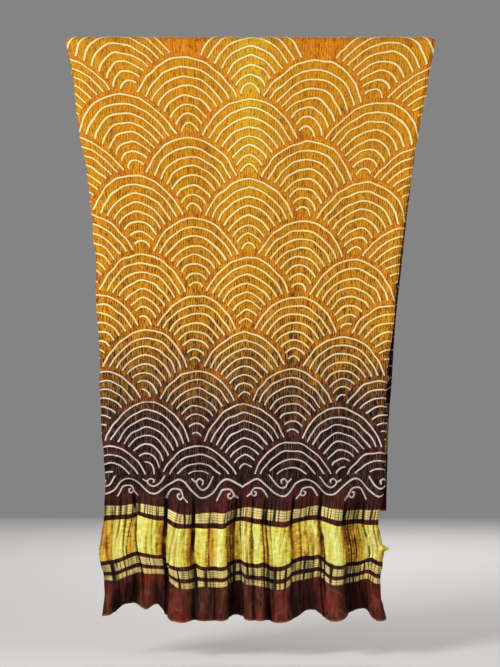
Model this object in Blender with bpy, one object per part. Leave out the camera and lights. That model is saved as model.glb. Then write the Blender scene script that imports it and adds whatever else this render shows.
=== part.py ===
"""Bandhani cloth hanging folded over: one thin sheet, a long front fall and a shorter back fall.

Metres, +X to the right, the front fall faces -Y, +Z up. The origin is the middle of the top of the fold.
"""

import bpy
import numpy as np

THICKNESS = 0.002
FOLD_RADIUS = 0.0145  # of the sheet's middle surface, where it goes over its support
FOLD_TURN_STEPS = 8
COLUMNS_PER_FOLD = 4

# The side edges. A row for each height: height, left edge, right edge.
FRONT_OUTLINE = np.array(
    [
        (0.000, -0.391, 0.393),
        (-0.076, -0.372, 0.378),
        (-0.160, -0.365, 0.362),
        (-0.279, -0.344, 0.342),
        (-0.391, -0.332, 0.326),
        (-0.542, -0.322, 0.308),
        (-0.701, -0.317, 0.291),
        (-0.846, -0.312, 0.286),
        (-0.970, -0.303, 0.281),
        (-1.010, -0.303, 0.275),
        (-1.071, -0.311, 0.286),
        (-1.145, -0.301, 0.280),
        (-1.226, -0.309, 0.294),
    ]
)
BACK_OUTLINE = np.array(
    [
        (0.000, -0.391, 0.393),
        (-0.160, -0.360, 0.362),
        (-0.344, -0.329, 0.336),
        (-0.470, -0.318, 0.322),
        (-0.600, -0.310, 0.308),
        (-0.750, -0.305, 0.299),
        (-0.870, -0.301, 0.294),
        (-0.990, -0.299, 0.292),
    ]
)

# The gathers of the border, left to right. A row for each: where it starts across the front hem, how far it
# stands forward (a minus sign is a sunk one), how far the cloth sags there at the border's head and at the hem.
# The last row only says where the last gather ends.
GATHERS = np.array(
    [
        (-0.3110, -0.007, 0.000, 0.005),
        (-0.2890, 0.008, -0.002, 0.003),
        (-0.2500, 0.013, -0.003, -0.007),
        (-0.1820, 0.015, 0.016, 0.018),
        (-0.1235, 0.012, 0.018, 0.020),
        (-0.0800, 0.010, 0.015, 0.018),
        (-0.0480, -0.010, 0.007, 0.010),
        (-0.0230, 0.009, 0.004, 0.010),
        (0.0030, 0.010, 0.006, 0.014),
        (0.0340, 0.015, 0.010, 0.022),
        (0.0870, -0.006, 0.007, 0.004),
        (0.1260, 0.008, 0.001, 0.000),
        (0.1470, 0.015, 0.008, 0.018),
        (0.1990, -0.010, 0.012, 0.008),
        (0.2430, 0.009, 0.009, 0.012),
        (0.2800, 0.000, 0.006, 0.010),
    ]
)
GATHER_START, GATHER_FORWARD, GATHER_SAG_HEAD, GATHER_SAG_HEM = GATHERS.T

# Heights above the hem before it sags.
GATHERS_BEGIN = 0.285
BANDS_HEAD = 0.225  # the top of the gold bands
GATHERS_FULL = 0.180
BANDS_FOOT = 0.068
HEM_FLARE = 1.6  # the gathers' depth at the hem, as a share of their depth at the bands

FRONT_HEM = -1.209
BACK_HEM = -0.992
BACK_GATHER_SHARE = 0.5  # the back fall's gathers, as a share of the front's
FRONT_ROWS = (-0.100, -0.200, -0.310, -0.430, -0.560, -0.700, -0.820, -0.900)
BACK_ROWS = (-0.120, -0.260, -0.420, -0.580)
BORDER_ROWS = (0.285, 0.250, 0.225, 0.190, 0.150, 0.110, 0.068, 0.034, 0.0)  # above the hem

# Soft waves across the crushed cloth above the border: how many fit in its width, phase and height.
BODY_WAVES = ((2.3, 0.4, 0.0030), (4.1, 1.9, 0.0018), (7.2, 0.7, 0.0010))
WAVES_FULL_BELOW = 0.250  # under the top of the fold; the cloth lies flat on its support


def ease(value):
    """0 to 1 with soft ends."""
    value = np.clip(value, 0.0, 1.0)
    return value * value * (3.0 - 2.0 * value)


def smooth_curve(knots, values, at):
    """A smooth curve through the values at rising knots."""
    slopes = np.gradient(values, knots)
    at = np.clip(at, knots[0], knots[-1])
    i = np.clip(np.searchsorted(knots, at) - 1, 0, len(knots) - 2)
    span = knots[i + 1] - knots[i]
    t = (at - knots[i]) / span
    start = (1 + 2 * t) * (1 - t) ** 2 * values[i] + t * (1 - t) ** 2 * span * slopes[i]
    end = t * t * (3 - 2 * t) * values[i + 1] - t * t * (1 - t) * span * slopes[i + 1]
    return start + end


def side_edges(outline, height):
    """The left and right edge at a height."""
    rising = outline[::-1]
    left = smooth_curve(rising[:, 0], rising[:, 1], height)
    right = smooth_curve(rising[:, 0], rising[:, 2], height)
    return left, right


def column_places():
    """Each column's place across the cloth from 0 to 1, the gather that it is in, and its place in that gather."""
    width = GATHER_START[-1] - GATHER_START[0]
    places = []
    for k in range(len(GATHERS) - 1):
        for step in range(COLUMNS_PER_FOLD):
            t = step / COLUMNS_PER_FOLD
            x = GATHER_START[k] + t * (GATHER_START[k + 1] - GATHER_START[k])
            places.append(((x - GATHER_START[0]) / width, k, t))
    places.append((1.0, len(GATHERS) - 2, 1.0))
    across, gather, within = (np.array(column) for column in zip(*places))
    return across, gather.astype(int), within


def gather_depth(height_above_hem):
    """How much of each gather's depth the cloth has at a height above its hem."""
    opening = ease((GATHERS_BEGIN - height_above_hem) / (GATHERS_BEGIN - GATHERS_FULL))
    flare = ease((BANDS_FOOT - height_above_hem) / BANDS_FOOT)
    return opening * (1.0 + (HEM_FLARE - 1.0) * flare)


def sag(across, height_above_hem):
    """How far the cloth hangs below its level: nothing above the gathers, and most at the foot of the bands."""
    middles = (GATHER_START[:-1] + GATHER_START[1:]) / 2
    x = GATHER_START[0] + across * (GATHER_START[-1] - GATHER_START[0])
    at_head = smooth_curve(middles, GATHER_SAG_HEAD[:-1], x)
    at_hem = smooth_curve(middles, GATHER_SAG_HEM[:-1], x)
    begun = ease((GATHERS_BEGIN - height_above_hem) / (GATHERS_BEGIN - BANDS_HEAD))
    to_foot = ease((BANDS_HEAD - height_above_hem) / (BANDS_HEAD - BANDS_FOOT))
    return begun * at_head + to_foot * (at_hem - at_head)


def fall_row(outline, hem, height, side, share):
    """A row of points across one fall. side is -1 in front and 1 behind, share scales its gathers."""
    across, gather, within = column_places()
    above_hem = height - hem
    bump = np.sin(np.pi * within) ** 0.7
    gathers = gather_depth(above_hem) * GATHER_FORWARD[gather] * bump * share
    waves = sum(rise * np.sin(2 * np.pi * count * across + phase) for count, phase, rise in BODY_WAVES)
    waves = waves * ease(-height / WAVES_FULL_BELOW)
    z = height - share * sag(across, above_hem)
    left, right = side_edges(outline, height)
    x = left + across * (right - left)
    y = side * (FOLD_RADIUS + waves + gathers)
    return np.column_stack([x, y, z])


def fold_row(angle):
    """A row of points on the turn over the support. The angle runs from the front, 0, to the back, pi."""
    across, _, _ = column_places()
    left, right = FRONT_OUTLINE[0, 1:]
    x = left + across * (right - left)
    y = -FOLD_RADIUS * np.cos(angle) * np.ones_like(x)
    z = (FOLD_RADIUS * (np.sin(angle) - 1.0) - THICKNESS / 2) * np.ones_like(x)
    return np.column_stack([x, y, z])


def sheet_rows():
    """The rows of the whole sheet, from the front hem, over the fold, to the back hem."""
    front_heights = list(FRONT_ROWS) + [FRONT_HEM + above for above in BORDER_ROWS]
    back_heights = list(BACK_ROWS) + [BACK_HEM + above for above in BORDER_ROWS]
    rows = [fall_row(FRONT_OUTLINE, FRONT_HEM, z, -1, 1.0) for z in reversed(front_heights)]
    rows += [fold_row(np.pi * step / FOLD_TURN_STEPS) for step in range(FOLD_TURN_STEPS + 1)]
    rows += [fall_row(BACK_OUTLINE, BACK_HEM, z, 1, BACK_GATHER_SHARE) for z in back_heights]
    return rows


def cloth_material():
    material = bpy.data.materials.new("dyed_silk")
    material.use_nodes = True
    shader = material.node_tree.nodes["Principled BSDF"]
    shader.inputs["Base Color"].default_value = (0.62, 0.24, 0.02, 1.0)
    shader.inputs["Roughness"].default_value = 0.55
    shader.inputs["Metallic"].default_value = 0.0
    return material


def make_cloth():
    """The sheet's middle surface as a grid, given its thickness by Solidify."""
    rows = sheet_rows()
    columns = len(rows[0])
    points = np.concatenate(rows)
    faces = []
    for r in range(len(rows) - 1):
        for c in range(columns - 1):
            low = r * columns + c
            high = low + columns
            faces.append((low, low + 1, high + 1))
            faces.append((low, high + 1, high))
    mesh = bpy.data.meshes.new("cloth")
    mesh.from_pydata(points.tolist(), [], faces)
    mesh.shade_smooth()
    cloth = bpy.data.objects.new("cloth", mesh)
    cloth.data.materials.append(cloth_material())
    bpy.context.collection.objects.link(cloth)
    solid = cloth.modifiers.new("thickness", "SOLIDIFY")
    solid.thickness = THICKNESS
    solid.offset = 0.0
    return cloth


for thing in list(bpy.data.objects):
    bpy.data.objects.remove(thing, do_unlink=True)
make_cloth()
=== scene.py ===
"""The looks of the bandhani cloth: crushed tie-dyed silk with gold tissue bands, hanging folded over.

The sheet is worked out as one grid of points over its two falls and the fold between them. Its pleats,
raised resist lines and creases are in the mesh; its dyes, weave and painted light and shade are in the
materials.
"""

import math

import bpy
import numpy as np
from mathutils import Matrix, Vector


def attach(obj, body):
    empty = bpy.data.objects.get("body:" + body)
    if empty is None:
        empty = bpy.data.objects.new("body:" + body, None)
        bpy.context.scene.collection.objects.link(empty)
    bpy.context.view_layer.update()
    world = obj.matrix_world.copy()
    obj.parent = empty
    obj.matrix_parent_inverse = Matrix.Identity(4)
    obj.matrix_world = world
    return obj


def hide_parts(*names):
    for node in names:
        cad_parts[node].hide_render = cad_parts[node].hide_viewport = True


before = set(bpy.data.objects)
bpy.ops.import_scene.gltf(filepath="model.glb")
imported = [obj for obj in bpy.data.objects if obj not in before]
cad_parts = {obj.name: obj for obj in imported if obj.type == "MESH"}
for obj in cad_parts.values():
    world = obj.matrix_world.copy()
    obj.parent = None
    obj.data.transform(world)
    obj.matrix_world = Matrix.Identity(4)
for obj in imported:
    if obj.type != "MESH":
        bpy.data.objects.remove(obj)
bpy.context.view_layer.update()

# ---- the sheet's shape, metres
# The outlines, the fold, the gathers and the soft waves are the CAD's.
THICKNESS = 0.002
FOLD_RADIUS = 0.0145
FALL_TOP = -(FOLD_RADIUS + THICKNESS / 2)
FRONT_HEM = -1.209
BACK_HEM = -0.992
FRONT, BACK = -1, 1  # which way each fall faces along Y

# The side edges, with (height, left edge, right edge) for each height.
FRONT_OUTLINE = np.array([
    (0.0, -0.391, 0.393), (-0.076, -0.372, 0.378), (-0.16, -0.365, 0.362),
    (-0.279, -0.344, 0.342), (-0.391, -0.332, 0.326), (-0.542, -0.322, 0.308),
    (-0.701, -0.317, 0.291), (-0.846, -0.312, 0.286), (-0.97, -0.303, 0.281),
    (-1.01, -0.303, 0.275), (-1.071, -0.311, 0.286), (-1.145, -0.301, 0.28),
    (-1.226, -0.309, 0.294),
])
BACK_OUTLINE = np.array([
    (0.0, -0.391, 0.393), (-0.16, -0.36, 0.362), (-0.344, -0.329, 0.336),
    (-0.47, -0.318, 0.322), (-0.6, -0.31, 0.308), (-0.75, -0.305, 0.299),
    (-0.87, -0.301, 0.294), (-0.99, -0.299, 0.292),
])

# The gathers of the border, left to right: where each starts across the front hem, and how far it stands
# forward (a minus sign is a sunk one). The last pair only says where the last gather ends.
GATHERS = np.array([
    (-0.311, -0.007), (-0.289, 0.008), (-0.25, 0.013), (-0.182, 0.015),
    (-0.1235, 0.012), (-0.08, 0.01), (-0.048, -0.01), (-0.023, 0.009),
    (0.003, 0.01), (0.034, 0.015), (0.087, -0.006), (0.126, 0.008),
    (0.147, 0.015), (0.199, -0.01), (0.243, 0.009), (0.28, 0.0),
])
GATHER_START, GATHER_FORWARD = GATHERS.T
GATHERS_BEGIN = 0.285  # this and the next two are levels, metres above the hem
GATHERS_FULL = 0.18
BANDS_FOOT = 0.068
HEM_FLARE = 1.6  # the gathers' depth at the hem, as a share of their depth at the bands
GATHER_ROUNDNESS = 0.7
BACK_GATHER_SHARE = 0.5  # the back fall's gathers, as a share of the front's

# Soft waves across the crushed cloth above the border: how many fit in its width, phase and height.
BODY_WAVES = ((2.3, 0.4, 0.003), (4.1, 1.9, 0.0018), (7.2, 0.7, 0.001))
WAVES_FULL_BELOW = 0.25  # under the top of the fold; the cloth lies flat on its support

# ---- the mesh
COLUMNS = 561
ROW_STEP = 0.0025  # between rows, and the bands' edges fall on it
BACK_ROW_STEP = 0.0034  # above the back fall's border
FOLD_ROWS = 19
FLAT_WIDTH = 0.95  # of the silk before it was crushed

# The sheet's pieces, each under 200,000 triangles, with their first rows. The back border comes after them.
PIECES = (("front_border", 0), ("front_lower", 114), ("front_upper", 291), ("fold", 468), ("back_body", 580))

# ---- the dyed design; levels are above a hem
LINE_HALF_WIDTH = 0.0017
END_GAP = 0.011  # a line stops this far from the edge of the next fan
FAN_SHAPE = 1.95  # 2 is an ellipse, and less is more pointed
FAN_HALF_WIDTH = 0.167  # as a share of the cloth's width
RINGS = 8
RING_STEP = 0.117  # as a share of a fan's height
LOWEST_FAN_HEIGHT = 0.152
FAN_MARGIN = 0.03  # the rows above and below a fan that it is drawn on
FAN_LEAN = 1.2  # the upper fans lean away from the middle and the lower ones towards it
UPRIGHT_CROWN = 0.75  # a fan with its crown here stands upright
LEAN_FLOOR = -0.2  # the lean stops growing this far under that crown
CREST = 0.003  # the lines are drawn up this much in the cloth's middle, where it was folded for tying
CREST_HALF_WIDTH = 0.02
LINE_WANDER = 0.0022  # the lines stray by this, about once in each step (across, up)
LINE_WANDER_STEPS = ((0.021, 0.021), (0.019, 0.024))  # sideways, then up and down

# The crown of each fan. A row for each row of fans, from the lowest, and from left to right in it.
FAN_CROWNS = (
    (0.3475, 0.348, 0.3554, 0.335),
    (0.4403, 0.4342, 0.4283),
    (0.503, 0.5063, 0.5089, 0.4845),
    (0.5922, 0.5846, 0.5775),
    (0.6648, 0.6629, 0.6608, 0.6425),
    (0.7508, 0.7422, 0.7378),
    (0.8333, 0.8265, 0.82, 0.806),
    (0.9173, 0.9062, 0.9009),
    (1.0011, 0.995, 0.9885, 0.9745),
    (1.0868, 1.0757, 1.0691),
    (1.1729, 1.1645, 1.1582, 1.148),
    (1.251, 1.2449, 1.2342),
)
# Where the fans stand across the cloth, at the lowest row and at the highest.
EVEN_FANS = ((-0.005, -0.003), (0.329, 0.328), (0.675, 0.664), (1.004, 0.99))
ODD_FANS = ((0.146, 0.162), (0.505, 0.499), (0.852, 0.846))
MIRROR_RUN = 0.03  # the two halves of the design meet this far behind the top of the fold
MIRROR_GAP = 0.006

# The line of waves under the fans, mirrored about an axis. Its hooks stand over the troughs and its arches
# under the crests; their points are (away from the axis, up) from a trough's bottom or a crest's top.
WAVE_AXIS = 0.489  # across the cloth
WAVE_LEVEL = 0.264
WAVE_RISE = 0.015
WAVE_LENGTH = 0.104
FIRST_CREST = 0.0294  # from the axis
MOTIF_GAP = 0.009
FANS_FOOT = 0.288
WAVES_HEAD = 0.33  # all of the waves' lines are below this level
NO_HOOK = 0.01  # no hook stands this near the axis
HOOK = ((-0.0227, 0.036), (-0.0124, 0.0206), (-0.001, 0.014), (0.0084, 0.0175), (0.0126, 0.0245),
        (0.0066, 0.03), (-0.001, 0.027), (0.0004, 0.0225))
HOOK_TAIL = ((0.0126, 0.0245), (0.017, 0.0262), (0.0229, 0.03))
ARCH = ((0.0244, -0.034), (0.0139, -0.0185), (0.005, -0.0152), (-0.0059, -0.0168), (-0.012, -0.027),
        (-0.0204, -0.0355))
ARCH_CURL = ((-0.012, -0.027), (-0.0059, -0.031), (-0.0006, -0.0285), (0.0, -0.024),
             (-0.004, -0.0225))

# Woven bands, metres above the hem.
WIDE_BAND = (0.1175, 0.195)
TISSUE_BANDS = ((0.0675, 0.08), (0.09, 0.1075), WIDE_BAND, (0.205, 0.225))
WIDE_BAND_MARGIN = 0.00075  # its colour runs this far past its faces
STRIPE_SPACING = 0.0047  # of the level stripes in the other bands

# ---- creases; the sizes are in metres
# The creases of the border: place across the front, half width, depth, and lean to the right per metre up.
CREASES = np.array([
    (-0.301, 0.0014, 0.003, -0.1), (-0.293, 0.0014, 0.004, -0.06), (-0.2825, 0.002, 0.005, 0.04),
    (-0.2657, 0.002, 0.004, 0.0), (-0.256, 0.0014, 0.003, 0.06), (-0.2425, 0.0022, 0.009, -0.09),
    (-0.218, 0.0014, 0.003, 0.05), (-0.207, 0.0014, 0.003, -0.05), (-0.1825, 0.0025, 0.01, 0.0),
    (-0.169, 0.0014, 0.004, 0.16), (-0.158, 0.0014, 0.003, 0.12), (-0.122, 0.0022, 0.009, -0.02),
    (-0.087, 0.0014, 0.004, 0.0), (-0.074, 0.0014, 0.003, 0.0), (-0.048, 0.002, 0.008, 0.0),
    (-0.042, 0.0012, 0.006, 0.0), (-0.036, 0.0012, 0.007, 0.03), (-0.0335, 0.009, 0.0045, 0.0),
    (-0.0305, 0.0012, 0.006, -0.03), (-0.025, 0.0014, 0.008, 0.0), (-0.019, 0.0012, 0.005, 0.02),
    (-0.008, 0.0013, 0.003, 0.0), (0.003, 0.0014, 0.004, 0.0), (0.028, 0.0016, 0.008, 0.0),
    (0.034, 0.0012, 0.004, 0.0), (0.042, 0.0014, 0.005, 0.0), (0.087, 0.0019, 0.009, 0.02),
    (0.105, 0.0016, 0.004, 0.03), (0.118, 0.0014, 0.004, 0.0), (0.127, 0.0026, 0.007, 0.0),
    (0.149, 0.0019, 0.007, -0.03), (0.1995, 0.0017, 0.008, 0.0), (0.2045, 0.0012, 0.005, 0.0),
    (0.21, 0.0013, 0.006, 0.0), (0.215, 0.0012, 0.004, 0.0), (0.2195, 0.0013, 0.006, 0.03),
    (0.221, 0.016, 0.0025, 0.0), (0.2245, 0.0012, 0.004, 0.03), (0.229, 0.0013, 0.005, 0.0),
    (0.235, 0.0012, 0.004, -0.03), (0.2415, 0.0019, 0.007, -0.05), (0.25, 0.0014, 0.004, 0.0),
    (0.262, 0.0014, 0.004, 0.06), (0.272, 0.0014, 0.003, 0.0),
])
CREASE_LEVEL = 0.15  # where a crease is at its place across the front
CREASES_BEGIN = 0.262  # a level; they reach their depth CREASES_RISE lower
CREASES_RISE = 0.045
CREASE_ZONES = ((0.0, 0.35), (0.06, 0.8), (0.1, 1.0))  # the share of the depth at some levels
# the creases' painted shade: full for one this deep and sharp, patchy along its length
DARK_DEPTH = 0.007  # a crease this deep or deeper is dark, unless it is broad
SHARP_HALF_WIDTH = 0.003
DARK_LENGTH = 0.022  # a crease is darker and lighter along its length in patches this long

# The thin gaps between the creases, sunk a little and dark with painted shade, and the share of that shade
# at some levels.
GAP_SPACING, GAP_HEIGHT = 0.008, 0.3
GAP_WIDTH, GAP_DARKNESS, GAP_DEPTH = 0.14, 0.9, 0.0012
GAP_ZONES = ((0.112, 1.0), (0.122, 0.35), (0.192, 0.35), (0.2, 1.0))
GAPS_END = ((0.275, 0.05), (0.045, 0.03))  # where they end above and below, and over what height
UNBROKEN = (-0.073, 0.018, 0.85)  # a place with few gaps: where, its half width, how much it takes off

# The wide band's creases where the gold is painted orange as in shade: place across the front, half width
# and strength.
ORANGE_SHADE_FOLDS = (
    (-0.308, 0.006, 0.7), (-0.294, 0.004, 0.6), (-0.278, 0.005, 0.5), (-0.251, 0.005, 0.6),
    (-0.183, 0.008, 0.7), (-0.162, 0.005, 0.5), (-0.127, 0.007, 0.7), (-0.084, 0.006, 0.6),
    (-0.055, 0.006, 0.6), (-0.01, 0.006, 0.5), (0.031, 0.006, 0.7), (0.093, 0.007, 0.5),
    (0.124, 0.008, 0.6), (0.14, 0.007, 0.7), (0.193, 0.006, 0.6), (0.232, 0.006, 0.5),
    (0.266, 0.008, 0.6),
)

# A pinch of the wide band past the right edge: its level, half height and reach, and where it starts.
TIP_LEVEL = 0.147
TIP_HALF_HEIGHT = 0.0055
TIP_OUT = 0.013
TIP_FROM = 0.965

# How far the lines of the border hang below their level, finer than in the CAD. For each place across the
# front: where, then how far at the first five of LINE_LEVELS. At the last of them nothing hangs.
LINE_LEVELS = (0.0, 0.0675, 0.1175, 0.195, 0.225, 0.285)
BORDER_LINES = np.array([
    (-0.311, 0.008, 0.001, 0.012, 0.005, 0.002), (-0.292, 0.003, 0.002, 0.009, 0.002, 0.002),
    (-0.271, -0.014, -0.007, 0.002, 0.0, 0.001), (-0.252, -0.017, -0.013, -0.006, -0.002, -0.002),
    (-0.244, -0.017, -0.016, -0.009, -0.007, -0.003), (-0.225, -0.007, -0.014, -0.007, -0.003, -0.001),
    (-0.196, -0.014, -0.013, -0.002, 0.003, 0.004), (-0.185, 0.001, -0.01, -0.001, 0.004, 0.005),
    (-0.177, 0.013, 0.002, 0.013, 0.009, 0.009), (-0.162, 0.018, 0.014, 0.021, 0.018, 0.016),
    (-0.141, 0.02, 0.019, 0.022, 0.02, 0.021), (-0.126, 0.017, 0.018, 0.02, 0.02, 0.021),
    (-0.118, 0.017, 0.016, 0.015, 0.019, 0.02), (-0.107, 0.018, 0.014, 0.021, 0.02, 0.018),
    (-0.08, 0.018, 0.016, 0.022, 0.02, 0.017), (-0.053, 0.015, 0.012, 0.02, 0.019, 0.017),
    (-0.042, 0.01, 0.006, 0.012, 0.013, 0.013), (-0.028, 0.01, 0.002, 0.008, 0.005, 0.009),
    (-0.015, 0.015, 0.008, 0.012, 0.004, 0.005), (0.01, 0.017, 0.012, 0.016, 0.01, 0.007),
    (0.029, 0.017, 0.015, 0.014, 0.012, 0.009), (0.037, 0.02, 0.018, 0.02, 0.014, 0.01),
    (0.054, 0.021, 0.02, 0.022, 0.016, 0.011), (0.077, 0.017, 0.014, 0.016, 0.017, 0.013),
    (0.088, 0.013, 0.005, 0.008, 0.012, 0.01), (0.107, 0.0, 0.001, 0.001, 0.007, 0.009),
    (0.126, -0.003, -0.003, 0.0, 0.003, 0.003), (0.142, 0.007, -0.007, -0.002, 0.002, 0.002),
    (0.151, 0.015, -0.002, 0.007, 0.004, 0.003), (0.165, 0.018, 0.008, 0.016, 0.008, 0.007),
    (0.189, 0.012, 0.01, 0.019, 0.015, 0.01), (0.203, 0.002, 0.008, 0.014, 0.014, 0.013),
    (0.222, -0.004, 0.005, 0.013, 0.012, 0.012), (0.237, -0.001, -0.001, 0.007, 0.011, 0.011),
    (0.245, 0.011, -0.002, 0.003, 0.012, 0.011), (0.264, 0.017, 0.007, 0.01, 0.012, 0.01),
    (0.283, 0.013, 0.008, 0.014, 0.013, 0.01),
])

# How far the hem's folds come forward at places across the front.
HEM_FOLDS = np.array([
    (-0.311, 0.018), (-0.301, 0.026), (-0.295, 0.01), (-0.29, -0.01), (-0.275, -0.015),
    (-0.246, -0.014), (-0.233, -0.002), (-0.223, 0.0), (-0.212, -0.01), (-0.192, -0.011),
    (-0.183, 0.002), (-0.17, 0.008), (-0.152, 0.009), (-0.124, 0.003), (-0.107, 0.006),
    (-0.093, -0.003), (-0.082, 0.004), (-0.057, 0.003), (-0.047, -0.01), (-0.03, -0.012),
    (-0.019, 0.004), (-0.007, 0.007), (0.023, 0.006), (0.031, -0.006), (0.046, 0.004),
    (0.073, 0.002), (0.086, -0.006), (0.098, 0.006), (0.111, -0.006), (0.121, 0.001),
    (0.136, -0.01), (0.144, 0.0), (0.168, 0.009), (0.191, 0.006), (0.199, -0.009),
    (0.21, 0.0), (0.224, -0.006), (0.239, -0.004), (0.249, 0.008), (0.27, 0.007),
    (0.285, 0.002),
])
HEM_FOLDS_BEGIN = 0.078  # a level; they reach their depth HEM_FOLDS_RISE lower
HEM_FOLDS_RISE = 0.07

# The soft crinkles of the border: height, steps across and up, and seed; then their share at some levels.
CRINKLES = ((0.0016, 0.0065, 0.045, 31), (0.001, 0.0035, 0.03, 32), (0.0005, 0.012, 0.005, 33))
CRINKLE_ZONES = ((0.0, 0.5), (0.06, 0.6), (0.12, 1.0), (0.19, 1.0), (0.22, 0.6), (0.25, 0.0))
BACK_CRINKLES_AT = 1.37  # how far along the pattern the back fall's crinkles are taken

# ---- pleats, lines and side edges
PLEATS = 134  # across the whole width
BUNCH_PLEATS = 3.0  # the pleats bunch up in about every three
BUNCH_HEIGHT = 0.022
DRIFTS = 9  # across the whole width
DRIFT_HEIGHT = 0.05
PLAIN_TONE_HEIGHT = 0.03  # a pleat keeps its tone this far up the plain ground
LEAST_SPARE_WIDTH = 0.05  # as a share of the hanging width
PLEAT_STRENGTH = (0.3, 0.9)  # the least, and how much more the strongest pleat has
PLEAT_ON_LINE = 0.4  # the share of its height that a pleat keeps on a resist line
LINE_CLEAR = (0.0012, 0.003)  # from the line, where pleats begin to rise, and over what width
PLEAT_ZONES = (
    (0.0, 0.15), (0.065, 0.16), (0.11, 0.2), (0.125, 0.3),
    (0.2, 0.18), (0.225, 0.2), (0.245, 0.8), (0.27, 1.0),
)
RIDGE_HEIGHT = 0.0012  # of a resist line
RIDGE_HALF_WIDTH = 0.0026
ROLL_DEPTH = 0.005  # of the side edges, which turn back
ROLL_WIDTH = 0.006
EDGE_WANDER = 0.0028  # the side edges stray by this, once in about EDGE_WANDER_STEP
EDGE_WANDER_STEP = 0.034
EDGE_WANDER_REACH = 0.03  # as a share of the width

# ---- painted light and shade worked out from the shape, and a painted sheen
SMOOTH_TURN = 2  # columns that the turn is averaged over
SMOOTH_RELIEF = 3
BODY_RELIEF = (16, 0.005)  # the columns of the wider average, and the height that counts as full relief
HEM_RELIEF = (45, 0.011)
HEM_RELIEF_BEGIN = 0.078
HEM_RELIEF_RISE = 0.03
TIP_RELIEF = 0.9
SHEEN = 0.75  # of the middle of the cloth
SHEEN_HALF_WIDTH = 0.045  # as a share of the width
SHEEN_BEGIN = 0.7
SHEEN_RISE = 0.35


def ease(value):
    """0 to 1 with soft ends."""
    value = np.clip(value, 0.0, 1.0)
    return value * value * (3.0 - 2.0 * value)


def smooth_curve(knots, values, at):
    """A smooth curve through the values at rising knots."""
    slopes = np.gradient(values, knots)
    at = np.clip(at, knots[0], knots[-1])
    i = np.clip(np.searchsorted(knots, at) - 1, 0, len(knots) - 2)
    span = knots[i + 1] - knots[i]
    t = (at - knots[i]) / span
    start = (1 + 2 * t) * (1 - t) ** 2 * values[i] + t * (1 - t) ** 2 * span * slopes[i]
    end = t * t * (3 - 2 * t) * values[i + 1] - t * t * (1 - t) * span * slopes[i + 1]
    return start + end


def soft_noise(x, y, seed):
    """Smooth noise from -1 to 1, with one bump to each unit of x and y."""
    size = 509
    lattice = np.random.default_rng(seed).uniform(-1.0, 1.0, (size, size))
    x, y = np.broadcast_arrays(x, y)
    column, row = np.floor(x).astype(int), np.floor(y).astype(int)
    right, up = ease(x - column), ease(y - row)
    column, next_column = column % size, (column + 1) % size
    low, high = row % size, (row + 1) % size
    low = lattice[low, column] * (1 - right) + lattice[low, next_column] * right
    high = lattice[high, column] * (1 - right) + lattice[high, next_column] * right
    return low * (1 - up) + high * up


def side_edges(outline, height):
    """The left and right edge at a height."""
    rising = outline[::-1]
    return [smooth_curve(rising[:, 0], rising[:, edge], height) for edge in (1, 2)]


# ---- the hanging sheet
def grid_rows():
    """The rows' distances along the cloth from the top of the fold, minus in front, from hem to hem."""
    quarter = math.pi * FOLD_RADIUS / 2
    front_length = quarter + FALL_TOP - FRONT_HEM
    back_length = quarter + FALL_TOP - BACK_HEM
    front = np.arange(0.0, FALL_TOP - FRONT_HEM - ROW_STEP / 2, ROW_STEP) - front_length
    fold = np.linspace(-quarter, quarter, FOLD_ROWS)
    back_border = back_length - np.arange(0.0, GATHERS_BEGIN + ROW_STEP / 2, ROW_STEP)[::-1]
    steps = round((back_border[0] - quarter) / BACK_ROW_STEP)
    back_body = np.linspace(quarter, back_border[0], steps + 1)[1:-1]
    return np.concatenate([front, fold, back_body, back_border]), front_length, back_length


def gather_profile(across, above_hem):
    """How far the gathers stand out, before the share of each fall."""
    starts = (GATHER_START - GATHER_START[0]) / (GATHER_START[-1] - GATHER_START[0])
    k = np.clip(np.searchsorted(starts, across, side="right") - 1, 0, len(starts) - 2)
    within = (across - starts[k]) / (starts[k + 1] - starts[k])
    bump = np.sin(np.pi * np.clip(within, 0, 1)) ** GATHER_ROUNDNESS
    opening = ease((GATHERS_BEGIN - above_hem) / (GATHERS_BEGIN - GATHERS_FULL))
    flare = ease((BANDS_FOOT - above_hem) / BANDS_FOOT)
    return GATHER_FORWARD[k] * bump * opening * (1.0 + (HEM_FLARE - 1.0) * flare)


def hem_place(across):
    """Where a share of the width is across the front hem."""
    return GATHER_START[0] + across * (GATHER_START[-1] - GATHER_START[0])


def sag(across, above_hem):
    """How far the cloth hangs below its level."""
    x = hem_place(across)
    total = np.zeros(x.shape)
    for k, sags in enumerate(BORDER_LINES.T[1:]):
        share = np.interp(above_hem, LINE_LEVELS, np.eye(len(LINE_LEVELS))[k])
        total = total + share * smooth_curve(BORDER_LINES[:, 0], sags, x)
    return total


def hanging_surface(across, run, front_length, back_length):
    """The middle surface as rows of points, each point's level above its own hem, and the width there."""
    quarter = math.pi * FOLD_RADIUS / 2
    side = np.where(run < 0, FRONT, BACK)
    share = np.where(run < 0, 1.0, BACK_GATHER_SHARE)
    level = np.where(run < 0, front_length + run, back_length - run)
    height = np.minimum(FALL_TOP - (np.abs(run) - quarter), FALL_TOP)
    edges = zip(side_edges(FRONT_OUTLINE, height), side_edges(BACK_OUTLINE, height))
    left, right = (np.where(run < 0, front, back) for front, back in edges)
    waves = sum(rise * np.sin(2 * np.pi * count * across + phase) for count, phase, rise in BODY_WAVES)
    waves = waves * ease(-height / WAVES_FULL_BELOW)
    gathers = share * gather_profile(across, level)
    x = left + across * (right - left)
    y = side * (FOLD_RADIUS + waves + gathers)
    z = height - share * sag(across, level)
    turn = np.clip(run / FOLD_RADIUS, -np.pi / 2, np.pi / 2)
    on_fold = np.abs(run) < quarter
    y = np.where(on_fold, FOLD_RADIUS * np.sin(turn), y)
    z = np.where(on_fold, FALL_TOP + FOLD_RADIUS * np.cos(turn), z)
    return np.stack([x, y, z], axis=-1), level, right - left


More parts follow.
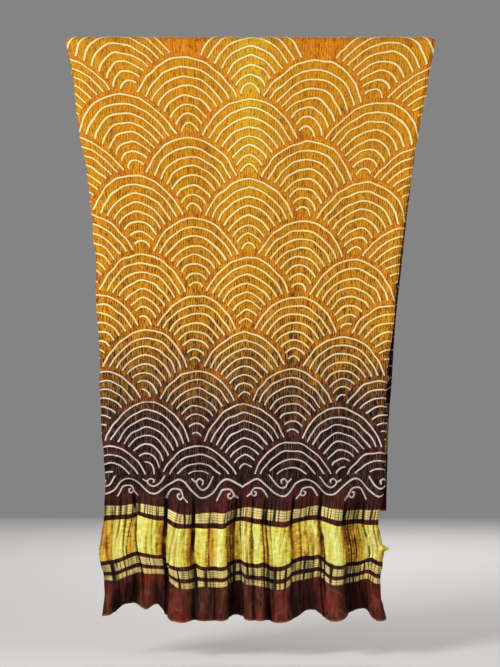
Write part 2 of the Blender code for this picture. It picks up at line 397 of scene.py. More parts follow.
def surface_normals(points):
    """Unit normals of a grid of points, out of the front of the front fall and the back of the back one."""
    along = np.gradient(points, axis=0)
    across = np.gradient(points, axis=1)
    normals = np.cross(across, along)
    return normals / np.linalg.norm(normals, axis=-1, keepdims=True)


# ---- the design
def fan_rings(across, level, width):
    """The distance to the nearest ring of the fans, and a number for each strip between two rings.

    The plain ground between the fans is strip 0."""
    distance = np.full(level.shape, 1.0)
    strip = np.zeros(level.shape, int)
    for row in reversed(range(len(FAN_CROWNS))):
        for column, (at_foot, at_top) in enumerate(ODD_FANS if row % 2 else EVEN_FANS):
            crown = FAN_CROWNS[row][column]
            fan_height = crown - FAN_CROWNS[row - 2][column] if row > 1 else LOWEST_FAN_HEIGHT
            centre = crown - fan_height
            middle = at_foot + (at_top - at_foot) * row / (len(FAN_CROWNS) - 1)
            lean = FAN_LEAN * (middle - 0.5) * max(crown - UPRIGHT_CROWN, LEAN_FLOOR)
            near = slice(*np.searchsorted(level[:, 0], (centre - FAN_MARGIN, crown + FAN_MARGIN)))
            wide = width[near]
            leaned = middle + lean * (level[near] - centre) / wide
            out = np.abs(across[near] - leaned) / FAN_HALF_WIDTH + 1e-6
            up = np.abs(level[near] - centre) / fan_height + 1e-6
            radius = (out**FAN_SHAPE + up**FAN_SHAPE) ** (1 / FAN_SHAPE)
            steep = radius ** (1 - FAN_SHAPE)
            slope = np.hypot(
                steep * out ** (FAN_SHAPE - 1) / (FAN_HALF_WIDTH * wide),
                steep * up ** (FAN_SHAPE - 1) / fan_height,
            )
            ring = np.clip(np.round((1 - radius) / RING_STEP), 0, RINGS - 1)
            from_ring = np.abs(radius - (1 - ring * RING_STEP)) / slope
            from_edge = (radius - 1) / slope
            kept = np.maximum(distance[near], LINE_HALF_WIDTH + END_GAP - from_edge)
            inside = radius < 1
            distance[near] = np.where(inside, from_ring, np.minimum(kept, from_edge))
            between = 1 + np.clip(np.floor((1 - radius) / RING_STEP), 0, RINGS).astype(int)
            number = (row * len(EVEN_FANS) + column) * (RINGS + 1) + between
            outside = np.where(from_edge < END_GAP, 0, strip[near])
            strip[near] = np.where(inside, number, outside)
    return distance, strip


def smooth_stroke(points, steps=4):
    """Points of a smooth curve through a stroke's points."""
    points = np.array(points)
    knots = np.arange(len(points), dtype=float)
    at = np.linspace(0, len(points) - 1, (len(points) - 1) * steps + 1)
    return np.stack([smooth_curve(knots, points[:, axis], at) for axis in (0, 1)], axis=-1)


def from_stroke(x, y, stroke):
    """The distance from each point to a stroke."""
    nearest = np.full(x.shape, 1.0)
    curve = smooth_stroke(stroke)
    for start, end in zip(curve[:-1], curve[1:]):
        along = end - start
        t = np.clip(((x - start[0]) * along[0] + (y - start[1]) * along[1]) / (along @ along), 0, 1)
        nearest = np.minimum(nearest, np.hypot(x - start[0] - t * along[0], y - start[1] - t * along[1]))
    return nearest


def wave_lines(across, level, width):
    """The distance to the line of waves with its hooks and arches, and the height above that line."""
    away = np.abs(across - WAVE_AXIS) * width
    turn = 2 * np.pi * (away - FIRST_CREST) / WAVE_LENGTH
    above = level - WAVE_LEVEL - WAVE_RISE * np.cos(turn)
    slope = WAVE_RISE * 2 * np.pi / WAVE_LENGTH * np.sin(turn)
    distance = np.abs(above) / np.hypot(1, slope)
    phase = np.mod(away - FIRST_CREST, WAVE_LENGTH)
    from_trough = phase - WAVE_LENGTH / 2
    from_crest = np.where(phase < WAVE_LENGTH / 2, phase, phase - WAVE_LENGTH)
    for stroke in (HOOK, HOOK_TAIL):
        hook = from_stroke(from_trough, level - WAVE_LEVEL + WAVE_RISE, stroke)
        distance = np.minimum(distance, np.where(away < NO_HOOK, 1.0, hook))
    for stroke in (ARCH, ARCH_CURL):
        arch = from_stroke(from_crest, level - WAVE_LEVEL - WAVE_RISE, stroke)
        distance = np.minimum(distance, arch)
    return distance, above


def resist_lines(across, level, width):
    """The distance to the nearest resist line, and the number of each strip between lines."""
    (wide, high), (wide_up, high_up) = LINE_WANDER_STEPS
    x = across + LINE_WANDER * soft_noise(across * width / wide, level / high, 11) / width
    y = level + LINE_WANDER * soft_noise(across * width / wide_up, level / high_up, 12)
    y = y - CREST * np.exp(-np.abs(across - 0.5) / CREST_HALF_WIDTH)
    distance, strip = fan_rings(x, y, width)
    low = level[:, 0] < WAVES_HEAD
    waves, above = wave_lines(x[low], y[low], width[low])
    fans = np.maximum(distance[low], LINE_HALF_WIDTH + MOTIF_GAP - waves)
    fans = np.maximum(fans, LINE_HALF_WIDTH + FANS_FOOT - level[low])
    distance[low] = np.where(above > 0, np.minimum(fans, waves), waves)
    strip[low] = np.where(above > 0, strip[low], 0)
    return distance, strip


# ---- creases and pleats
def zone_share(level, zones):
    """A share for each level from (level, share) pairs, with straight runs between them."""
    levels, shares = zip(*zones)
    return np.interp(level, levels, shares)


def border_creases(across, level):
    """How far the creases come forward, and their painted shade from 0 to 1."""
    x = hem_place(across)
    opening = ease((CREASES_BEGIN - level) / CREASES_RISE)
    forward = np.zeros(level.shape)
    hollow_shade = np.zeros(level.shape)
    for at, half_width, depth, lean in CREASES:
        shape = np.exp(-(((x - at - lean * (level - CREASE_LEVEL)) / half_width) ** 2))
        forward = forward - depth * shape * opening * zone_share(level, CREASE_ZONES)
        along = ease(0.75 + 0.9 * soft_noise(at * 997, level / DARK_LENGTH, 42))
        darkness = min(1.0, depth / DARK_DEPTH) * min(1.0, SHARP_HALF_WIDTH / half_width)
        # painted shade in the crease
        hollow_shade = np.maximum(hollow_shade, shape * darkness * opening * (0.35 + 0.65 * along))
    gap = soft_noise(x / GAP_SPACING, level / GAP_HEIGHT, 41)
    gap = GAP_DARKNESS * np.exp(-((gap / GAP_WIDTH) ** 2))
    (top, above), (foot, below) = GAPS_END
    gap = gap * ease((top - level) / above) * ease((level - foot) / below)
    at, half_width, taken_off = UNBROKEN
    gap = gap * (1 - taken_off * np.exp(-(((x - at) / half_width) ** 4)))
    forward = forward - GAP_DEPTH * gap
    # painted shade in the gaps
    hollow_shade = np.maximum(hollow_shade, gap * zone_share(level, GAP_ZONES))
    return forward, hollow_shade


def orange_shade_folds(across):
    """How much painted orange shade the wide band has along its creases, across its width."""
    x = hem_place(across)
    shares = [strength * np.exp(-(((x - at) / half) ** 2)) for at, half, strength in ORANGE_SHADE_FOLDS]
    return np.max(shares, axis=0)


def hem_folds(across, level):
    """How far the hem's folds come forward."""
    places, forward = HEM_FOLDS.T
    opening = ease((HEM_FOLDS_BEGIN - level) / HEM_FOLDS_RISE)
    return opening * smooth_curve(places, forward, hem_place(across))


def crinkles(across, level, width):
    """The soft crinkles of the border's tissue and hem."""
    x = across * width
    total = sum(rise * soft_noise(x / wide, level / high, seed) for rise, wide, high, seed in CRINKLES)
    return total * zone_share(level, CRINKLE_ZONES)


def pleat_height(across, level, width, distance, strip):
    """The crushed pleats, as deep as the flat width needs, which start anew at each resist line.

    Gives each point's place in its pleat from -1 to 1, the pleat's own tone from 0 to 1, and its height."""
    random = np.random.default_rng(21)
    starts = random.uniform(0, 1, 1000)
    starts[0] = 0
    pitch = width / PLEATS
    depth = pitch / math.pi * np.sqrt(np.maximum(FLAT_WIDTH / width - 1.0, LEAST_SPARE_WIDTH))
    bunches = soft_noise(across * PLEATS / BUNCH_PLEATS, level / BUNCH_HEIGHT, 22)
    drifts = soft_noise(across * DRIFTS, level / DRIFT_HEIGHT, 23)
    lie = 0.5 * bunches + 0.5 * drifts
    place = across * PLEATS + starts[strip] + lie
    index = np.floor(place).astype(int)
    tones = random.uniform(0, 1, 10007)  # a prime count scatters the steps below
    count = len(tones)
    tone = tones[(index * 37 + strip * 101) % count]
    rows = np.floor(level / PLAIN_TONE_HEIGHT + tones[index % count]).astype(int)
    tone = np.where(strip == 0, tones[(index * 37 + rows * 173) % count], tone)
    wave = -np.cos(2 * np.pi * place)
    least, more = PLEAT_STRENGTH
    strength = least + more * tones[(index * 53 + strip * 29 + 7) % count]
    clear_from, clear_over = LINE_CLEAR
    clear = ease((distance - clear_from) / clear_over)
    broken = PLEAT_ON_LINE + (1 - PLEAT_ON_LINE) * clear
    share = strength * broken * zone_share(level, PLEAT_ZONES)
    return wave * np.minimum(share, 1.0), tone, depth * wave * share


def ridge_height(distance):
    """How far the resist lines are raised."""
    return RIDGE_HEIGHT * np.exp(-((distance / RIDGE_HALF_WIDTH) ** 2))


def selvedge_roll(across, width):
    """The two side edges turn back a little."""
    from_edge = np.minimum(across, 1 - across) * width
    return -ROLL_DEPTH * np.exp(-((from_edge / ROLL_WIDTH) ** 2))


def edge_wander(across, level):
    """The side edges are not quite straight."""
    up = level / EDGE_WANDER_STEP
    left = soft_noise(up, 3.5, 51) * np.exp(-across / EDGE_WANDER_REACH)
    right = soft_noise(up, 7.5, 52) * np.exp(-(1 - across) / EDGE_WANDER_REACH)
    return EDGE_WANDER * (left + right)


def selvedge_tip(across, level):
    """A pinch of the tissue stands out past the right edge."""
    near = np.exp(-(((level - TIP_LEVEL) / TIP_HALF_HEIGHT) ** 2))
    return TIP_OUT * near * ease((across - TIP_FROM) / (1 - TIP_FROM))


# ---- pieces of the sheet
def sheet_mesh(name, points, normals, attributes, rows):
    """A mesh of the grid's rows in a slice, with a flat UV map and the point attributes."""
    part = points[rows]
    count, columns = part.shape[:2]
    mesh = bpy.data.meshes.new(name)
    corner = np.arange(count * columns).reshape(count, columns)
    sides = (corner[:-1, :-1], corner[:-1, 1:], corner[1:, 1:], corner[1:, :-1])
    quads = np.stack(sides, axis=-1).reshape(-1, 4)
    mesh.vertices.add(count * columns)
    mesh.vertices.foreach_set("co", part.reshape(-1).astype(np.float32))
    mesh.loops.add(quads.size)
    mesh.loops.foreach_set("vertex_index", quads.reshape(-1).astype(np.int32))
    mesh.polygons.add(len(quads))
    mesh.polygons.foreach_set("loop_start", np.arange(0, quads.size, 4, dtype=np.int32))
    mesh.update(calc_edges=True)
    mesh.shade_smooth()
    for key, values in attributes.items():
        layer = mesh.attributes.new(key, "FLOAT", "POINT")
        layer.data.foreach_set("value", values[rows].reshape(-1).astype(np.float32))
    u = np.broadcast_to(np.linspace(0, 1, columns), (count, columns))
    v = np.broadcast_to(np.linspace(0, 1, count)[:, None], (count, columns))
    uv = np.stack([u, v], axis=-1).reshape(-1, 2)[quads.reshape(-1)]
    layer = mesh.uv_layers.new(name="OFBake")
    layer.data.foreach_set("uv", uv.reshape(-1).astype(np.float32))
    mesh.normals_split_custom_set_from_vertices(normals[rows].reshape(-1, 3).tolist())
    piece = bpy.data.objects.new(name, mesh)
    bpy.context.collection.objects.link(piece)
    return piece


# ---- colours, as display values from 0 to 255
# The silk's colour from its darkest pleats to its lightest, inside the fans and on the plain ground.
ORANGES = (
    (0.0, (194, 116, 6)), (0.35, (213, 138, 8)),
    (0.75, (216, 144, 10)), (1.0, (200, 149, 16)),
)
PLAIN_ORANGES = ((0.0, (204, 116, 8)), (0.4, (220, 134, 12)), (1.0, (224, 142, 16)))
MAROONS = ((0.0, (34, 12, 10)), (0.5, (52, 20, 16)), (1.0, (70, 32, 26)))
PLAIN_MAROONS = ((0.0, (40, 14, 12)), (0.5, (70, 27, 21)), (1.0, (108, 44, 34)))
# a painted sheen down the middle of the upper cloth
ORANGE_SHEEN = (232, 182, 36)
# painted shade in the pleats' valleys
ORANGE_VALLEY_SHADE = (122, 68, 4)
RED_DASH = (204, 78, 8)
DARK_DASH = (98, 58, 4)
LIGHT_FLECK = (236, 160, 28)
# painted shade of the puckering beside the resist lines
PUCKER_SHADE = (124, 90, 10)
# painted highlight on the pleats' crests
MAROON_CREST_HIGHLIGHT = (126, 92, 76)
MAROON_DASH = (112, 76, 58)
HEM_RED = (88, 26, 18)
HEM_BROWN = (62, 28, 13)
# painted highlight along the hem's fine folds
HEM_FOLD_HIGHLIGHT = (132, 66, 48)
# painted highlight along the hem's rolled rim
HEM_RIM_HIGHLIGHT = (138, 92, 70)
IVORY_LOW = (212, 203, 190)
IVORY_HIGH = (244, 218, 150)
# the resist lines under the painted sheen
IVORY_SHEEN = (234, 240, 176)

# The tissue's colour from facing away from the light to facing it.
TISSUES = (
    (0.06, (112, 64, 12)), (0.2, (170, 118, 30)),
    (0.36, (206, 170, 52)), (0.52, (220, 206, 80)),
    (0.7, (226, 222, 104)), (0.92, (242, 240, 164)),
)
# the gold as it looks in shade, painted along the wide band's creases
ORANGE_SHADE = (212, 146, 44)
STRIPE_DARK = (186, 157, 82)
STRIPE_LIGHT = (226, 210, 136)

# Painted light and shade of the tissue's crinkles that are finer than the mesh: how much they turn it, noise
# scale, detail and stretch.
TISSUE_CRINKLES = (
    (1.1, 60.0, 4.0, (3.0, 1.0, 0.8)),
    (1.5, 105.0, 2.0, (0.9, 1.0, 1.9)),
    (1.0, 26.0, 2.0, (1.7, 1.0, 1.0)),
)


# ---- materials
def srgb(red, green, blue):
    """A colour's display values, 0 to 255, as scene values."""
    values = np.array((red, green, blue)) / 255.0
    linear = np.where(values <= 0.04045, values / 12.92, ((values + 0.055) / 1.055) ** 2.4)
    return (*linear.tolist(), 1.0)


def new_material(name):
    material = bpy.data.materials.new(name)
    material.use_nodes = True
    return material, material.node_tree.nodes, material.node_tree.links


class Shader:
    """Short ways to add nodes to one material."""

    def __init__(self, name):
        self.material, self.nodes, self.links = new_material(name)
        self.surface = self.nodes["Principled BSDF"].inputs
        self.known = {}

    def feed(self, socket, value):
        """Link an output to the socket, or give it a number or a colour's display values."""
        if isinstance(value, bpy.types.NodeSocket):
            self.links.new(value, socket)
        else:
            socket.default_value = srgb(*value) if isinstance(value, tuple) else value

    def read(self, name):
        """The point attribute of this name, always from the same node."""
        if name not in self.known:
            node = self.nodes.new("ShaderNodeAttribute")
            node.attribute_name = name
            self.known[name] = node.outputs["Fac"]
        return self.known[name]

    def math(self, operation, first, second=0.0):
        node = self.nodes.new("ShaderNodeMath")
        node.operation = operation
        self.feed(node.inputs[0], first)
        self.feed(node.inputs[1], second)
        return node.outputs[0]

    def plus(self, first, second):
        return self.math("ADD", first, second)

    def times(self, first, second):
        return self.math("MULTIPLY", first, second)

    def centred(self, value):
        """The value less a half, so that noise goes both ways."""
        return self.math("SUBTRACT", value, 0.5)

    def ease(self, value, low, high, at_low=0.0, at_high=1.0):
        """The value's place between low and high, with soft ends."""
        node = self.nodes.new("ShaderNodeMapRange")
        node.interpolation_type = "SMOOTHSTEP"
        self.feed(node.inputs["Value"], value)
        ends = {"From Min": low, "From Max": high, "To Min": at_low, "To Max": at_high}
        for name, number in ends.items():
            node.inputs[name].default_value = number
        return node.outputs["Result"]

    def mix(self, factor, first, second):
        """The first colour where the factor is 0 and the second where it is 1."""
        node = self.nodes.new("ShaderNodeMix")
        node.data_type = "RGBA"
        self.feed(node.inputs["Factor"], factor)
        self.feed(node.inputs["A"], first)
        self.feed(node.inputs["B"], second)
        return node.outputs["Result"]

    def shade(self, colour, amount):
        """The colour times an amount."""
        node = self.nodes.new("ShaderNodeVectorMath")
        node.operation = "SCALE"
        self.feed(node.inputs[0], colour)
        self.feed(node.inputs["Scale"], amount)
        return node.outputs["Vector"]

    def ramp(self, value, stops):
        """A colour for the value from (place, colour) stops."""
        node = self.nodes.new("ShaderNodeValToRGB")
        self.feed(node.inputs["Fac"], value)
        while len(node.color_ramp.elements) < len(stops):
            node.color_ramp.elements.new(0.5)
        for element, (place, colour) in zip(node.color_ramp.elements, stops):
            element.position = place
            element.color = srgb(*colour)
        return node.outputs["Color"]

    def place(self):
        return self.nodes.new("ShaderNodeTexCoord").outputs["Object"]

    def noise(self, scale, detail, stretch=(1.0, 1.0, 1.0)):
        mapping = self.nodes.new("ShaderNodeMapping")
        mapping.inputs["Scale"].default_value = stretch
        self.links.new(self.place(), mapping.inputs["Vector"])
        node = self.nodes.new("ShaderNodeTexNoise")
        node.inputs["Scale"].default_value = scale
        node.inputs["Detail"].default_value = detail
        self.links.new(mapping.outputs["Vector"], node.inputs["Vector"])
        return node.outputs["Fac"]

    def threads(self, scale, strength, depth):
        """A plain weave as bump: threads upright and level."""
        heights = []
        for direction in ("X", "Z"):
            node = self.nodes.new("ShaderNodeTexWave")
            node.bands_direction = direction
            node.inputs["Scale"].default_value = scale
            node.inputs["Distortion"].default_value = 1.5
            node.inputs["Detail"].default_value = 1.0
            self.links.new(self.place(), node.inputs["Vector"])
            heights.append(node.outputs["Fac"])
        bump = self.nodes.new("ShaderNodeBump")
        bump.inputs["Strength"].default_value = strength
        bump.inputs["Distance"].default_value = depth
        self.links.new(self.times(*heights), bump.inputs["Height"])
        self.links.new(bump.outputs["Normal"], self.surface["Normal"])


def orange_silk(silk, upright):
    """Golden orange: tones, painted sheen, dashes, flecks, and painted shade in the valleys and in the
    puckering by the lines.
    """
    level, line, pleat = map(silk.read, ("level", "line", "pleat"))
    tone, ground, sheen = map(silk.read, ("tone", "ground", "sheen"))
    orange = silk.mix(ground, silk.ramp(tone, ORANGES), silk.ramp(tone, PLAIN_ORANGES))
    # painted sheen down the middle
    orange = silk.mix(sheen, orange, ORANGE_SHEEN)
    # painted shade in the pleats' valleys, stronger lower down
    valley_shade = silk.ease(pleat, -0.25, -0.9)
    depth = silk.ease(level, 1.15, 0.6, 0.4, 0.9)
    orange = silk.mix(silk.times(valley_shade, depth), orange, ORANGE_VALLEY_SHADE)
    red_dashes = silk.ease(silk.noise(260.0, 1.0, (1.6, 0.5, 0.3)), 0.54, 0.66, 0.0, 0.8)
    orange = silk.mix(silk.times(red_dashes, ground), orange, RED_DASH)
    dark_dashes = silk.ease(upright, 0.48, 0.38)
    share = silk.ease(level, 1.15, 0.55, 0.55, 0.95)
    orange = silk.mix(silk.times(dark_dashes, share), orange, DARK_DASH)
    light_flecks = silk.ease(silk.noise(250.0, 1.0, (2.0, 0.5, 0.4)), 0.56, 0.68, 0.0, 0.55)
    orange = silk.mix(light_flecks, orange, LIGHT_FLECK)
    # painted shade of the puckering beside the resist lines, in patches
    pucker_shade = silk.ease(silk.noise(420.0, 1.0, (1.0, 0.5, 0.5)), 0.56, 0.44, 0.0, 0.75)
    by_line = silk.ease(line, 0.0052, 0.0024)
    return silk.mix(silk.times(pucker_shade, by_line), orange, PUCKER_SHADE)


def maroon_silk(silk):
    """Maroon: the pleats' tones, painted highlights on their crests, light dashes, and painted shade in the
    valleys.
    """
    pleat, tone, ground = map(silk.read, ("pleat", "tone", "ground"))
    maroon = silk.mix(silk.times(ground, 0.85), silk.ramp(tone, MAROONS), silk.ramp(tone, PLAIN_MAROONS))
    # painted highlight on the pleats' crests, less on the plain ground
    crest_highlight = silk.times(silk.ease(pleat, 0.15, 0.95), silk.ease(tone, 0.15, 0.95, 0.1, 0.9))
    crest_highlight = silk.times(crest_highlight, silk.ease(ground, 0.0, 1.0, 1.0, 0.25))
    maroon = silk.mix(crest_highlight, maroon, MAROON_CREST_HIGHLIGHT)
    dashes = silk.noise(230.0, 2.0, (1.0, 0.5, 0.3))
    light_dashes = silk.ease(dashes, 0.55, 0.66)
    share = silk.ease(ground, 0.0, 1.0, 0.7, 0.2)
    maroon = silk.mix(silk.times(light_dashes, share), maroon, MAROON_DASH)
    maroon = silk.shade(maroon, silk.ease(dashes, 0.4, 0.5, 0.4, 1.0))
    # painted shade in the pleats' valleys
    return silk.shade(maroon, silk.ease(pleat, -0.8, 0.0, 0.4, 1.0))


def hem_silk(silk):
    """The plain hem: red to brown and streaked, with painted crumple shade and painted highlights on fine
    folds and rim.
    """
    hem = silk.mix(silk.ease(silk.noise(14.0, 3.0), 0.35, 0.65), HEM_RED, HEM_BROWN)
    streaks = silk.noise(120.0, 3.0, (1.0, 0.5, 0.1))
    hem = silk.shade(hem, silk.ease(streaks, 0.35, 0.65, 0.78, 1.15))
    # painted light and shade of crumples
    crumple_shading = silk.noise(48.0, 4.0, (1.5, 1.0, 0.7))
    hem = silk.shade(hem, silk.ease(crumple_shading, 0.36, 0.64, 0.66, 1.3))
    # painted highlights along fine folds
    from_fold = silk.math("ABSOLUTE", silk.centred(silk.noise(26.0, 1.0, (1.8, 1.0, 0.7))))
    hem = silk.mix(silk.ease(from_fold, 0.06, 0.0, 0.0, 0.26), hem, HEM_FOLD_HIGHLIGHT)
    # painted highlight along the rolled rim at the bottom
    return silk.mix(silk.ease(silk.read("level"), 0.0040, 0.0015, 0.0, 0.55), hem, HEM_RIM_HIGHLIGHT)


def dye_share(silk, upright):
    """0 where the silk is maroon and 1 where it is orange; the edge is patchy, in upright strokes."""
    level, tone, ground = map(silk.read, ("level", "tone", "ground"))
    patchy = silk.times(silk.centred(silk.noise(14.0, 3.0, (1.0, 1.0, 0.5))), 0.16)
    uneven = silk.plus(silk.times(silk.centred(tone), 0.035), silk.times(ground, 0.01))
    strokes = silk.times(silk.centred(upright), silk.ease(level, 0.33, 0.47, 0.12, 0.5))
    dyed_level = silk.plus(level, silk.plus(patchy, silk.plus(uneven, strokes)))
    return silk.math("POWER", silk.ease(dyed_level, 0.366, 0.676), 1.15)


def undyed_lines(silk, colour):
    """The colour with the resist lines in ivory, yellower higher up."""
    level, line, sheen = map(silk.read, ("level", "line", "sheen"))
    ivory = silk.mix(silk.ease(level, 0.42, 0.62), IVORY_LOW, IVORY_HIGH)
    # painted sheen on the lines down the middle
    ivory = silk.mix(sheen, ivory, IVORY_SHEEN)
    ivory = silk.shade(ivory, silk.ease(level, 0.34, 0.29, 1.0, 0.88))
    thinner = silk.ease(level, 0.62, 0.45, 0.0, 0.0003)
    from_line = silk.plus(line, thinner)
    on_line = silk.ease(from_line, LINE_HALF_WIDTH + 0.0005, LINE_HALF_WIDTH - 0.0004)
    return silk.mix(on_line, colour, ivory)


def shaded_by_folds(silk, colour):
    """The colour, darker in creases and where it lies back, and lighter where it stands forward."""
    level, hollow_shade, relief = map(silk.read, ("level", "hollow_shade", "relief"))
    soft_hollow_shade = silk.times(hollow_shade, silk.ease(level, 0.05, 0.09, 0.62, 1.0))
    colour = silk.shade(colour, silk.ease(soft_hollow_shade, 0.0, 0.9, 1.0, 0.25))
    soft_relief = silk.times(relief, silk.ease(level, 0.3, 0.6, 1.0, 0.45))
    colour = silk.shade(colour, silk.ease(soft_relief, -0.9, 0.6, 0.45, 1.12))
    low_relief = silk.times(relief, silk.ease(level, 0.085, 0.06))
    colour = silk.shade(colour, silk.ease(low_relief, -1.0, 0.0, 0.5, 1.0))
    return silk.shade(colour, silk.ease(low_relief, 0.0, 1.0, 1.0, 1.25))


def silk_material():
    """Crushed silk, dyed from golden orange to maroon, with undyed resist lines."""
    silk = Shader("dyed_silk")
    level = silk.read("level")
    upright = silk.noise(230.0, 2.0, (2.2, 0.5, 0.36))
    orange = orange_silk(silk, upright)
    hem = hem_silk(silk)
    smooth = silk.ease(level, 0.272, 0.242, 0.0, 0.8)
    smooth = silk.times(smooth, silk.ease(level, 0.222, 0.228, 0.4, 1.0))
    maroon = silk.shade(maroon_silk(silk), silk.ease(level, 0.34, 0.29, 1.0, 0.75))
    maroon = silk.mix(smooth, maroon, silk.shade(hem, 0.72))
    maroon = silk.mix(silk.ease(level, 0.085, 0.07), maroon, hem)
    dyed = silk.mix(dye_share(silk, upright), maroon, orange)
    colour = shaded_by_folds(silk, undyed_lines(silk, dyed))
    silk.links.new(colour, silk.surface["Base Color"])
    silk.surface["Roughness"].default_value = 0.58
    silk.surface["Specular IOR Level"].default_value = 0.12
    silk.threads(900.0, 0.25, 0.0004)
    return silk.material


def tissue_facing(gold):
    """How far the tissue faces the light, above 0, or away from it."""
    turn, relief, pleat, tone = map(gold.read, ("turn", "relief", "pleat", "tone"))
    facing = gold.plus(gold.times(turn, 0.6), gold.times(relief, 0.45))
    facing = gold.plus(facing, gold.times(pleat, 0.1))
    facing = gold.plus(facing, gold.ease(tone, 0.0, 1.0, -0.12, 0.12))
    for amount, scale, detail, stretch in TISSUE_CRINKLES:
        crinkled = gold.centred(gold.noise(scale, detail, stretch))
        facing = gold.plus(facing, gold.times(crinkled, amount))
    return facing


def striped_tissue(gold, facing):
    """The thin bands: level stripes, with painted shade facing away from the light, in upright streaks and
    in creases.
    """
    stripes = gold.math("SINE", gold.times(gold.read("level"), 2 * math.pi / STRIPE_SPACING))
    colour = gold.mix(gold.ease(stripes, -0.7, 0.5), STRIPE_DARK, STRIPE_LIGHT)
    colour = gold.shade(colour, gold.ease(facing, -1.0, 0.5, 0.5, 1.07))
    streaks = gold.noise(75.0, 2.0, (1.0, 0.5, 0.08))
    colour = gold.shade(colour, gold.ease(streaks, 0.32, 0.43, 0.5, 1.0))
    return gold.shade(colour, gold.ease(gold.read("hollow_shade"), 0.2, 0.7, 0.98, 0.25))


def tissue_material():
    """Gold tissue of a metallic weft on an orange warp, with painted light and shade on its folds."""
    gold = Shader("gold_tissue")
    facing = tissue_facing(gold)
    # painted light and shade: lemon facing the light, orange-brown turned away
    painted_puffs = gold.ramp(gold.ease(facing, -1.5, 1.5), TISSUES)
    mottled = gold.ease(gold.noise(40.0, 3.0, (2.4, 1.0, 0.6)), 0.4, 0.58, 0.15, 1.0)
    # painted orange shade along the wide band's creases, in patches
    painted_puffs = gold.mix(gold.times(gold.read("orange_shade_share"), mottled), painted_puffs, ORANGE_SHADE)
    foot, head = WIDE_BAND
    from_middle = gold.math("SUBTRACT", gold.read("level"), (foot + head) / 2)
    from_middle = gold.math("ABSOLUTE", from_middle)
    wide = gold.math("LESS_THAN", from_middle, (head - foot) / 2 + WIDE_BAND_MARGIN)
    colour = gold.mix(wide, striped_tissue(gold, facing), painted_puffs)
    # painted shade in the creases and gaps
    colour = gold.shade(colour, gold.ease(gold.read("hollow_shade"), 0.18, 0.80, 0.97, 0.10))
    gold.links.new(colour, gold.surface["Base Color"])
    gold.surface["Metallic"].default_value = 0.35
    gold.surface["Roughness"].default_value = 0.45
    gold.surface["Specular IOR Level"].default_value = 0.25
    gold.threads(700.0, 0.3, 0.0004)
    return gold.material


# ---- the scene
def smoothed(values, reach):
    """The values of each row averaged softly over some columns on each side."""
    weights = np.exp(-0.5 * (np.arange(-3 * reach, 3 * reach + 1) / reach) ** 2)
    weights = weights / weights.sum()
    padded = np.pad(values, ((0, 0), (3 * reach, 3 * reach)), mode="edge")
    total = np.zeros(values.shape)
    for k, weight in enumerate(weights):
        total += weight * padded[:, k : k + values.shape[1]]
    return total


def whole_sheet():
    """The sheet's points, normals and attributes, and each row's place along it."""
    run, front_length, back_length = grid_rows()
    across = np.linspace(0, 1, COLUMNS)[None, :]
    points, level, width = hanging_surface(across, run[:, None], front_length, back_length)
    shape = points.shape[:2]
    level, width, across = (np.broadcast_to(values, shape) for values in (level, width, across))

    meeting = int(np.searchsorted(run, MIRROR_RUN))
    front = slice(0, meeting)
    back = slice(len(run) - 1, meeting - 1, -1)
    drawn = np.where(run < MIRROR_RUN, front_length + run, back_length - run)[:, None] + 0 * across
    distance = np.zeros(shape)
    strip = np.zeros(shape, int)
    for half in (front, back):
        distance[half], strip[half] = resist_lines(across[half], drawn[half], width[half])
    distance = np.maximum(distance, LINE_HALF_WIDTH + MIRROR_GAP - np.abs(run - MIRROR_RUN)[:, None])

    behind = run > 0
    share = np.where(behind, BACK_GATHER_SHARE, 1.0)[:, None]
    creases, hollow_shade = border_creases(across, level)
    crinkled_at = np.where(behind[:, None], across + BACK_CRINKLES_AT, across)
    wrinkles = crinkles(crinkled_at, level, width)
    pleat, tone, height = pleat_height(across, level, width, distance, strip)
    folds = share * creases + share * wrinkles
    outward = surface_normals(points)
    offset = folds + height + ridge_height(distance) + selvedge_roll(across, width)
    points = points + outward * offset[..., None]
    side = np.where(behind, BACK, FRONT)[:, None]
    in_front = np.where(behind, 0.0, 1.0)[:, None]
    tip = in_front * selvedge_tip(across, level)
    points[..., 0] += tip + in_front * edge_wander(across, level)
    points[..., 1] += side * share * hem_folds(across, level)
    normals = surface_normals(points)

    # painted light and shade from the shape: relief for standing forward and lying back, turn for facing the
    # key light
    forward = side * points[..., 1]
    local = smoothed(forward, SMOOTH_RELIEF)
    near_hem = ease((HEM_RELIEF_BEGIN - level) / HEM_RELIEF_RISE)
    relief = 0.0
    for (reach, full), weight in ((BODY_RELIEF, 1 - near_hem), (HEM_RELIEF, near_hem)):
        relief = relief + (local - smoothed(forward, reach)) / full * weight
    relief = np.clip(relief, -1, 1)
    turn = np.gradient(smoothed(forward, SMOOTH_TURN), axis=1) / np.gradient(points[..., 0], axis=1)
    # the pinch past the right edge gets even painted light
    pinch = tip / TIP_OUT
    turn = np.clip(side * turn * FRONT, -1, 1) * (1 - pinch)
    relief = relief * (1 - pinch) + TIP_RELIEF * pinch
    # a painted sheen down the middle of the upper cloth
    in_middle = np.exp(-(((across - 0.5) / SHEEN_HALF_WIDTH) ** 2))
    sheen = SHEEN * in_middle * ease((level - SHEEN_BEGIN) / SHEEN_RISE)
    attributes = {
        "level": level,
        "line": distance,
        "pleat": pleat,
        "tone": tone,
        "ground": (strip == 0) * 1.0,
        "sheen": sheen,
        "hollow_shade": hollow_shade,
        "relief": relief,
        "turn": turn,
        "orange_shade_share": orange_shade_folds(across),
    }
    return run, points, normals, attributes


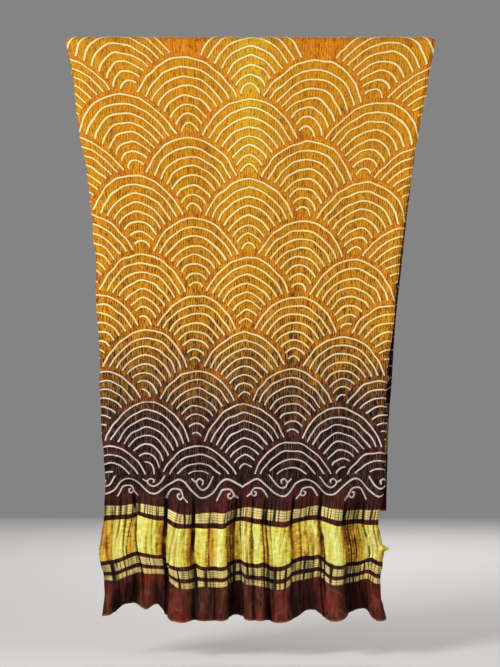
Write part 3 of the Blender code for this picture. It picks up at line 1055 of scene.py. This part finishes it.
def make_cloth():
    run, points, normals, attributes = whole_sheet()
    silk = silk_material()
    tissue = tissue_material()
    row_level = attributes["level"][:, 0]
    middle = (row_level[:-1] + row_level[1:]) / 2
    is_tissue = np.zeros(len(middle), int)
    for foot, head in TISSUE_BANDS:
        is_tissue[(middle > foot) & (middle < head)] = 1
    back_border = int(np.searchsorted(run, run[-1] - GATHERS_BEGIN - ROW_STEP / 2))
    starts = [*PIECES, ("back_border", back_border)]
    stops = [start for _, start in starts[1:]] + [len(run) - 1]
    pieces = []
    for (name, start), stop in zip(starts, stops):
        piece = sheet_mesh("cloth_" + name, points, normals, attributes, slice(start, stop + 1))
        piece.data.materials.append(silk)
        piece.data.materials.append(tissue)
        slots = np.repeat(is_tissue[start:stop], COLUMNS - 1)
        piece.data.polygons.foreach_set("material_index", slots.astype(np.int32))
        pieces.append((piece, float(abs(run[stop] - run[start]))))
    return pieces


def make_floor():
    bpy.ops.mesh.primitive_plane_add(size=8.0, location=(0, 0, FRONT_HEM - 0.1))
    floor = bpy.context.object
    floor.name = "floor"
    material, nodes, _ = new_material("pale_floor")
    surface = nodes["Principled BSDF"].inputs
    surface["Base Color"].default_value = (0.72, 0.71, 0.69, 1)
    surface["Roughness"].default_value = 0.8
    floor.data.materials.append(material)


def add_area_light(name, place, target, size, power):
    light = bpy.data.lights.new(name, "AREA")
    light.size = size
    light.energy = power
    lamp = bpy.data.objects.new(name, light)
    lamp.location = place
    lamp.rotation_euler = (Vector(target) - Vector(place)).to_track_quat("-Z", "Y").to_euler()
    bpy.context.collection.objects.link(lamp)


def make_lights():
    middle = (0, 0, -0.6)
    add_area_light("key", (-1.9, -2.6, 0.7), middle, 1.2, 100)
    add_area_light("fill", (2.4, -2.4, -0.3), middle, 2.0, 28)
    add_area_light("back", (0.5, 3.0, 1.0), middle, 2.0, 60)
    world = bpy.data.worlds.new("studio")
    bpy.context.scene.world = world
    world.use_nodes = True
    sky = world.node_tree.nodes["Background"].inputs
    sky["Color"].default_value = (0.55, 0.55, 0.56, 1)
    sky["Strength"].default_value = 0.42
    bpy.context.scene.view_settings.view_transform = "Standard"


def make_camera():
    """Straight on, at the fit to the photo: 1.05 m of the front fall across the picture."""
    picture_width, picture_middle = 1.05, -0.62475
    picture_height = picture_width * 667 / 500
    camera = bpy.data.cameras.new("camera")
    camera.lens = 135.0
    camera.sensor_width = 36.0
    eye = bpy.data.objects.new("camera", camera)
    distance = camera.lens / camera.sensor_width * picture_height
    eye.location = (0.0, -FOLD_RADIUS - distance, picture_middle)
    eye.rotation_euler = (math.radians(90), 0, 0)
    bpy.context.collection.objects.link(eye)
    bpy.context.scene.camera = eye


make_camera()
for piece, length in make_cloth():
    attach(piece, "root")
    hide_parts("cloth")
make_floor()
make_lights()
